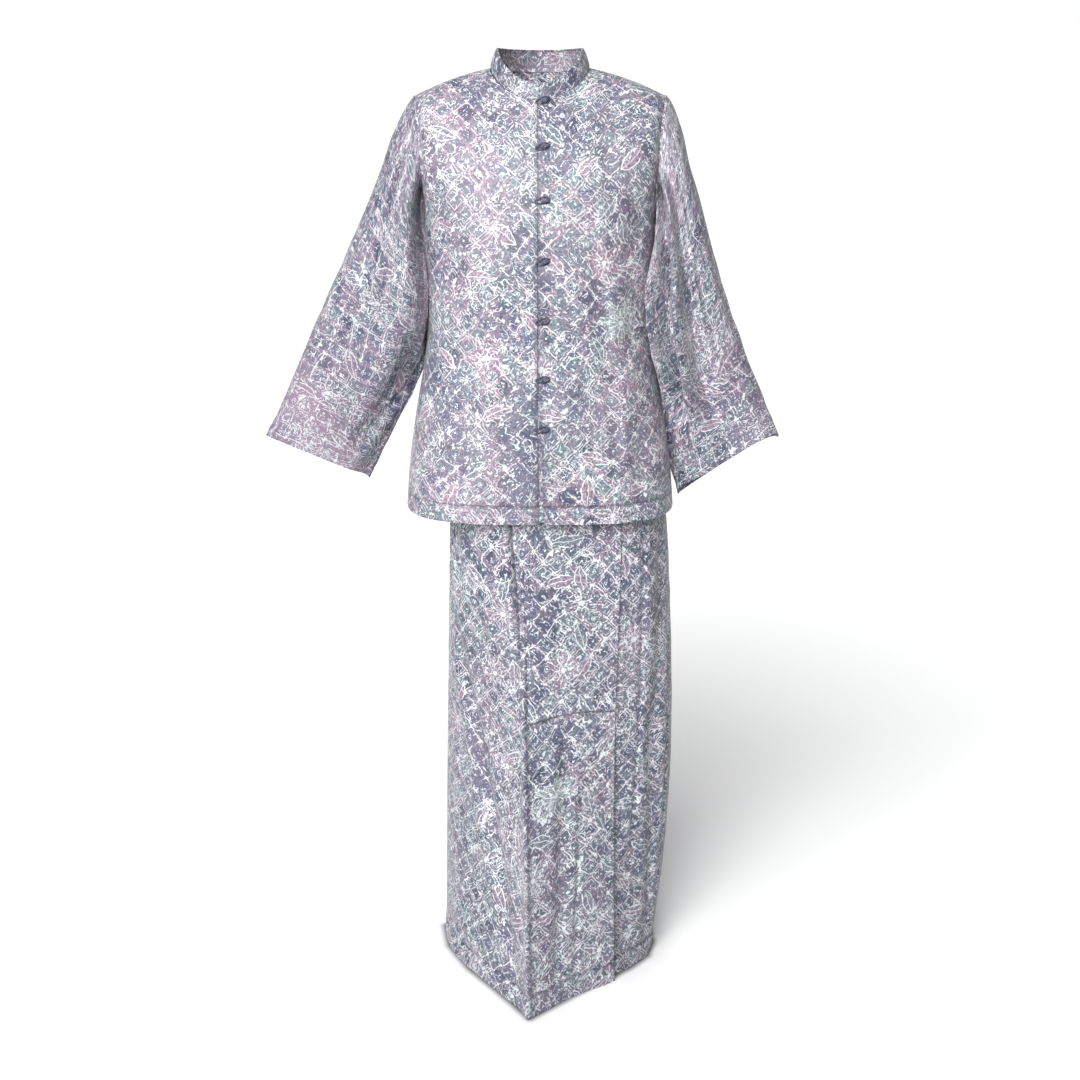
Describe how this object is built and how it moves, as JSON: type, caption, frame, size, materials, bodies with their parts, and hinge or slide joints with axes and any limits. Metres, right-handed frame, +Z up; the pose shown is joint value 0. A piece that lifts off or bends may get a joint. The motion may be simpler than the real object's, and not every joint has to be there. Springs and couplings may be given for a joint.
{
  "type": "two-piece tunic and long wrap skirt",
  "caption": "Hollow worn-form long-sleeved stand-collar tunic with looped knot buttons over an ankle-length wrap-front skirt.",
  "frame": {"origin": "base of the neck, midway between the highest points of the shoulders, at their level", "axes": "+Z up along the body, the front faces -Y, +X to the wearer's left"},
  "size_m": [0.782, 0.3786, 1.4483],
  "materials": {
    "back": "smooth satin weave printed with a batik-like lattice and flowers",
    "front_left": "smooth satin weave printed with a batik-like lattice and flowers",
    "front_right": "smooth satin weave printed with a batik-like lattice and flowers",
    "front_underlap": "smooth satin weave printed with a batik-like lattice and flowers",
    "collar": "smooth satin weave printed with a batik-like lattice and flowers",
    "sleeve_left": "smooth satin weave printed with a batik-like lattice and flowers",
    "sleeve_right": "smooth satin weave printed with a batik-like lattice and flowers",
    "button_1": "rolled strip of the same printed cloth",
    "button_2": "rolled strip of the same printed cloth",
    "button_3": "rolled strip of the same printed cloth",
    "button_4": "rolled strip of the same printed cloth",
    "button_5": "rolled strip of the same printed cloth",
    "button_6": "rolled strip of the same printed cloth",
    "button_7": "rolled strip of the same printed cloth",
    "loop_1": "rolled strip of the same printed cloth",
    "loop_2": "rolled strip of the same printed cloth",
    "loop_3": "rolled strip of the same printed cloth",
    "loop_4": "rolled strip of the same printed cloth",
    "loop_5": "rolled strip of the same printed cloth",
    "loop_6": "rolled strip of the same printed cloth",
    "loop_7": "rolled strip of the same printed cloth",
    "skirt_wrap": "smooth satin weave printed with a batik-like lattice and flowers",
    "skirt_underlap": "smooth satin weave printed with a batik-like lattice and flowers",
    "skirt_back": "smooth satin weave printed with a batik-like lattice and flowers",
    "skirt_waistband": "smooth satin weave printed with a batik-like lattice and flowers"
  },
  "bodies": {
    "root": {"back": "back", "front_left": "front_left", "front_right": "front_right", "front_underlap": "front_underlap", "collar": "collar", "sleeve_left": "sleeve_left", "sleeve_right": "sleeve_right", "button_1": "button_1", "button_2": "button_2", "button_3": "button_3", "button_4": "button_4", "button_5": "button_5", "button_6": "button_6", "button_7": "button_7", "loop_1": "loop_1", "loop_2": "loop_2", "loop_3": "loop_3", "loop_4": "loop_4", "loop_5": "loop_5", "loop_6": "loop_6", "loop_7": "loop_7", "skirt_wrap": "skirt_wrap", "skirt_underlap": "skirt_underlap", "skirt_back": "skirt_back", "skirt_waistband": "skirt_waistband"}
  },
  "joints": []
}
